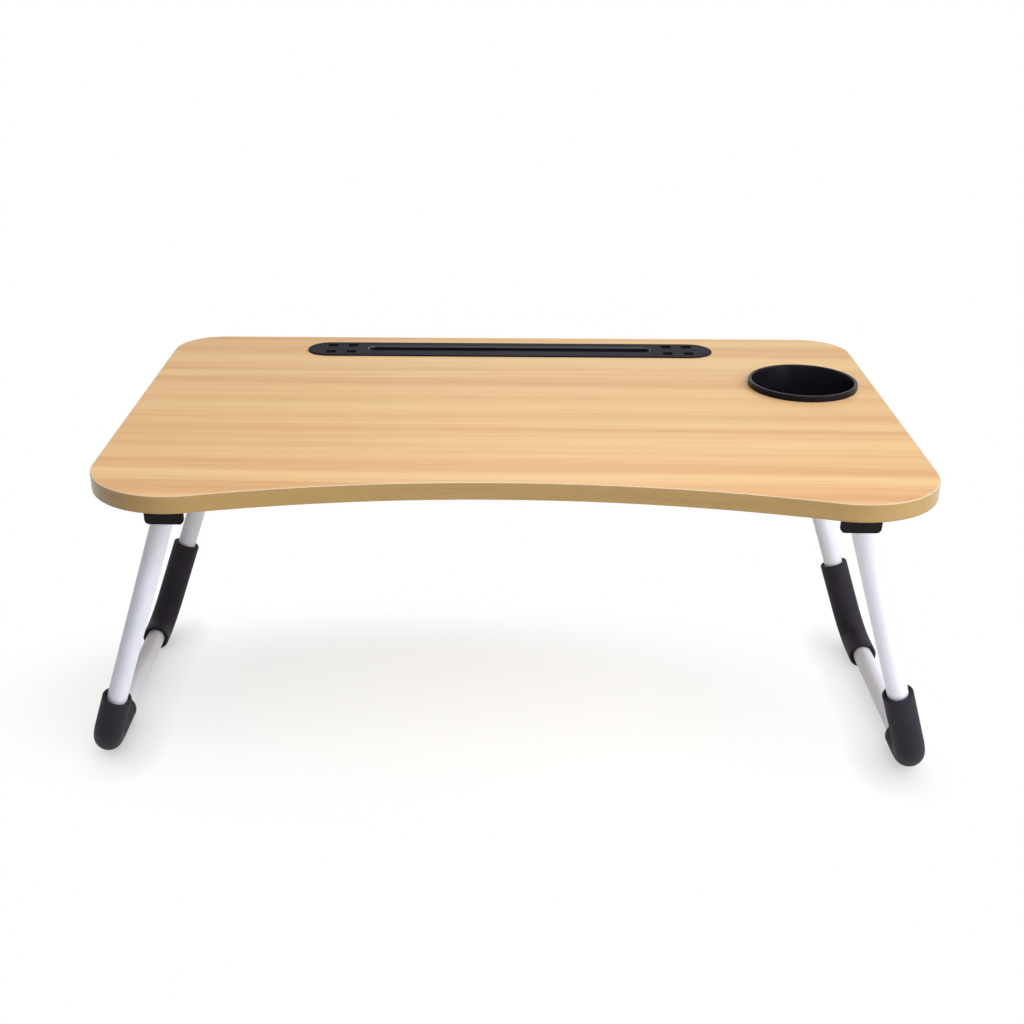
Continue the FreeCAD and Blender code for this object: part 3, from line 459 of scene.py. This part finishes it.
def screwTree(s):  # head with a cross recess, shank and point, set on every vertex of the input
    tree = bpy.data.node_groups.new("crossPanScrews", "GeometryNodeTree")
    tree.interface.new_socket("Geometry", in_out="INPUT", socket_type="NodeSocketGeometry")
    for key in s["sizes"]:
        tree.interface.new_socket(key, in_out="INPUT", socket_type="NodeSocketFloat")
    tree.interface.new_socket("Geometry", in_out="OUTPUT", socket_type="NodeSocketGeometry")
    given = addNode(tree, "NodeGroupInput").outputs

    rim = addNode(tree, "GeometryNodeMeshCylinder", {
        "Vertices": s["headSides"], "Side Segments": 1, "Fill Segments": s["headRings"]},
        {"Radius": given["headRadius"], "Depth": given["rimHeight"]})
    spot = addNode(tree, "GeometryNodeInputPosition").outputs[0]
    xyz = addNode(tree, "ShaderNodeSeparateXYZ", links={0: spot}).outputs
    flat = addNode(tree, "ShaderNodeCombineXYZ", links={"X": xyz["X"], "Y": xyz["Y"]})
    reach = addNode(tree, "ShaderNodeVectorMath", {"operation": "LENGTH"}, {0: flat.outputs[0]})
    share = addNode(tree, "ShaderNodeMath", {"operation": "DIVIDE"},
                    {0: reach.outputs["Value"], 1: given["headRadius"]})
    curve = addNode(tree, "ShaderNodeMath", {"operation": "POWER", 1: s["domePower"]}, {0: share.outputs[0]})
    fall = addNode(tree, "ShaderNodeMath", {"operation": "SUBTRACT", 0: 1.0}, {1: curve.outputs[0]})
    rise = addNode(tree, "ShaderNodeMath", {"operation": "MULTIPLY"}, {0: fall.outputs[0], 1: given["domeHeight"]})
    lift = addNode(tree, "ShaderNodeCombineXYZ", links={"Z": rise.outputs[0]})
    onTop = addNode(tree, "ShaderNodeMath", {"operation": "GREATER_THAN", 1: 0.0}, {0: xyz["Z"]})
    dome = addNode(tree, "GeometryNodeSetPosition", links={
        "Geometry": rim.outputs["Mesh"], "Selection": onTop.outputs[0], "Offset": lift.outputs[0]})

    slot = addNode(tree, "ShaderNodeCombineXYZ", links={
        "X": given["recessLength"], "Y": given["recessWidth"], "Z": given["recessDepth"]})
    bar = addNode(tree, "GeometryNodeMeshCube", links={"Size": slot.outputs[0]})
    halfRim = addNode(tree, "ShaderNodeMath", {"operation": "MULTIPLY", 1: 0.5}, {0: given["rimHeight"]})
    crown = addNode(tree, "ShaderNodeMath", {"operation": "ADD"}, {0: halfRim.outputs[0], 1: given["domeHeight"]})
    high = addNode(tree, "ShaderNodeCombineXYZ", links={"Z": crown.outputs[0]})
    head = addNode(tree, "GeometryNodeMeshBoolean", {"operation": "DIFFERENCE", "solver": "MANIFOLD"},
                   {"Mesh 1": dome.outputs[0]})
    for turn in (0, math.pi / 2):  # the two bars of the cross
        cutter = addNode(tree, "GeometryNodeTransform", {"Rotation": (0, 0, turn)},
                         {"Geometry": bar.outputs["Mesh"], "Translation": high.outputs[0]})
        tree.links.new(cutter.outputs[0], head.inputs["Mesh 2"])

    shank = addNode(tree, "GeometryNodeMeshCylinder", {"Vertices": s["shankSides"]},
                    {"Radius": given["shankRadius"], "Depth": given["shankLength"]})
    halfShank = addNode(tree, "ShaderNodeMath", {"operation": "MULTIPLY", 1: -0.5}, {0: given["shankLength"]})
    tip = addNode(tree, "GeometryNodeMeshCone", {"Vertices": s["shankSides"]}, {
        "Radius Top": given["tipRadius"], "Radius Bottom": given["pointRadius"], "Depth": given["tipLength"]})
    whole = addNode(tree, "ShaderNodeMath", {"operation": "ADD"}, {0: given["shankLength"], 1: given["tipLength"]})
    below = addNode(tree, "ShaderNodeMath", {"operation": "SUBTRACT"}, {0: given["tipOverlap"], 1: whole.outputs[0]})
    joined = addNode(tree, "GeometryNodeMeshBoolean", {"operation": "UNION", "solver": "MANIFOLD"})
    for mesh, height in ((head, halfRim), (shank, halfShank), (tip, below)):
        along = addNode(tree, "ShaderNodeCombineXYZ", links={"Z": height.outputs[0]})
        shifted = addNode(tree, "GeometryNodeTransform", links={
            "Geometry": mesh.outputs["Mesh"], "Translation": along.outputs[0]})
        tree.links.new(shifted.outputs[0], joined.inputs["Mesh 2"])
    one = addNode(tree, "GeometryNodeMergeByDistance", links={
        "Geometry": joined.outputs["Mesh"], "Distance": given["mergeGap"]})

    turn = addNode(tree, "FunctionNodeRandomValue", {"data_type": "FLOAT", "Seed": s["seed"], 3: s["largestTurn"]})
    down = addNode(tree, "ShaderNodeCombineXYZ", {"X": math.pi}, {"Z": turn.outputs[1]})  # heads hang downwards
    placed = addNode(tree, "GeometryNodeInstanceOnPoints", links={
        "Points": given["Geometry"], "Instance": one.outputs[0], "Rotation": down.outputs[0]})
    real = addNode(tree, "GeometryNodeRealizeInstances", links={0: placed.outputs[0]})
    painted = addNode(tree, "GeometryNodeSetMaterial", {"Material": finishes[s["finish"]]},
                      {"Geometry": real.outputs[0]})
    addNode(tree, "NodeGroupOutput", links={0: painted.outputs[0]})
    return tree


def makeScrews(s):
    sizes = s["sizes"]
    seats = [((low.x + high.x) / 2, (low.y + high.y) / 2, low.z + sizes["rimHeight"] + sizes["domeHeight"])
             for low, high in islandBoxes(s["node"])]
    points = bpy.data.meshes.new("screwSeats")
    points.from_pydata(seats, [], [])
    piece = bpy.data.objects.new("bracketScrews", points)
    bpy.context.scene.collection.objects.link(piece)
    tree = screwTree(s)
    maker = piece.modifiers.new("screws", "NODES")
    maker.node_group = tree
    for item in tree.interface.items_tree:
        if item.in_out == "INPUT" and item.name in sizes:
            maker[item.identifier] = sizes[item.name]
    mesh = plainMesh(piece)
    mesh.shade_smooth()
    mesh.set_sharp_from_angle(angle=math.radians(s["sharp"]))
    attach(piece, s["body"])
    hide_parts(s["node"])
    print("screws made:", len(seats), "with", len(mesh.polygons), "faces")


makeScrews(screw)

# Moulded pieces with their sharp edges eased, as the tool leaves them: the CAD shape with a small round. The brackets
# are eased all over, and the insert only along its groove, where the round takes a greyer finish as a painted
# highlight.
easedPieces = {  # lengths in metres, angles in degrees
    "hinge_bracket": {"body": "tabletop", "slot": "black_plastic", "radius": 0.0006, "segments": 2,
                      "finish": "blackNylon", "roundFinish": "blackNylon", "flat": 1, "sharp": 40},
    "tablet_slot_insert": {"body": "tabletop", "slot": "black_plastic", "radius": 0.0010, "segments": 4,
                           "finish": "blackAbs", "roundFinish": "rubbedAbs", "flat": 1, "sharp": 40,
                           "topSpan": 0.130, "topGap": 0.00001},
}


def easePiece(node, s):
    mesh = nodes[node].data.copy()
    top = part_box(node)[1].z
    work = bmesh.new()
    work.from_mesh(mesh)
    bmesh.ops.remove_doubles(work, verts=work.verts, dist=weldGap)
    bmesh.ops.dissolve_limit(work, angle_limit=math.radians(s["flat"]), verts=work.verts, edges=work.edges)
    weight = work.edges.layers.float.new("bevel_weight_edge")
    for face in work.faces:
        face.smooth = True
    for edge in work.edges:
        sharp = edge.is_manifold and edge.calc_face_angle() > math.radians(s["sharp"])
        inSpan = "topSpan" not in s or all(
            vert.co.z > top - s["topGap"] and abs(vert.co.x) < s["topSpan"] for vert in edge.verts)
        eased = sharp and edge.is_convex and inSpan
        edge[weight] = float(eased)
        edge.smooth = eased or not sharp
    work.to_mesh(mesh)
    work.free()
    mesh.materials.clear()
    for finish in (s["finish"], s["roundFinish"]):
        mesh.materials.append(finishes[finish])
    piece = bpy.data.objects.new("eased_" + node, mesh)
    bpy.context.scene.collection.objects.link(piece)
    ease = piece.modifiers.new("ease", "BEVEL")
    ease.limit_method = "WEIGHT"
    ease.width = s["radius"]
    ease.segments = s["segments"]
    ease.material = 1  # the rounds take the second finish
    even = piece.modifiers.new("even", "WEIGHTED_NORMAL")  # keeps the flat faces flat beside the rounds
    even.keep_sharp = True
    eased = plainMesh(piece)
    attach(piece, s["body"])
    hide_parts(node)
    print("eased", node, "with", len(eased.polygons), "faces")


for start, s in easedPieces.items():
    for name in sorted(nodes):
        if name.startswith(start):
            easePiece(name, s)
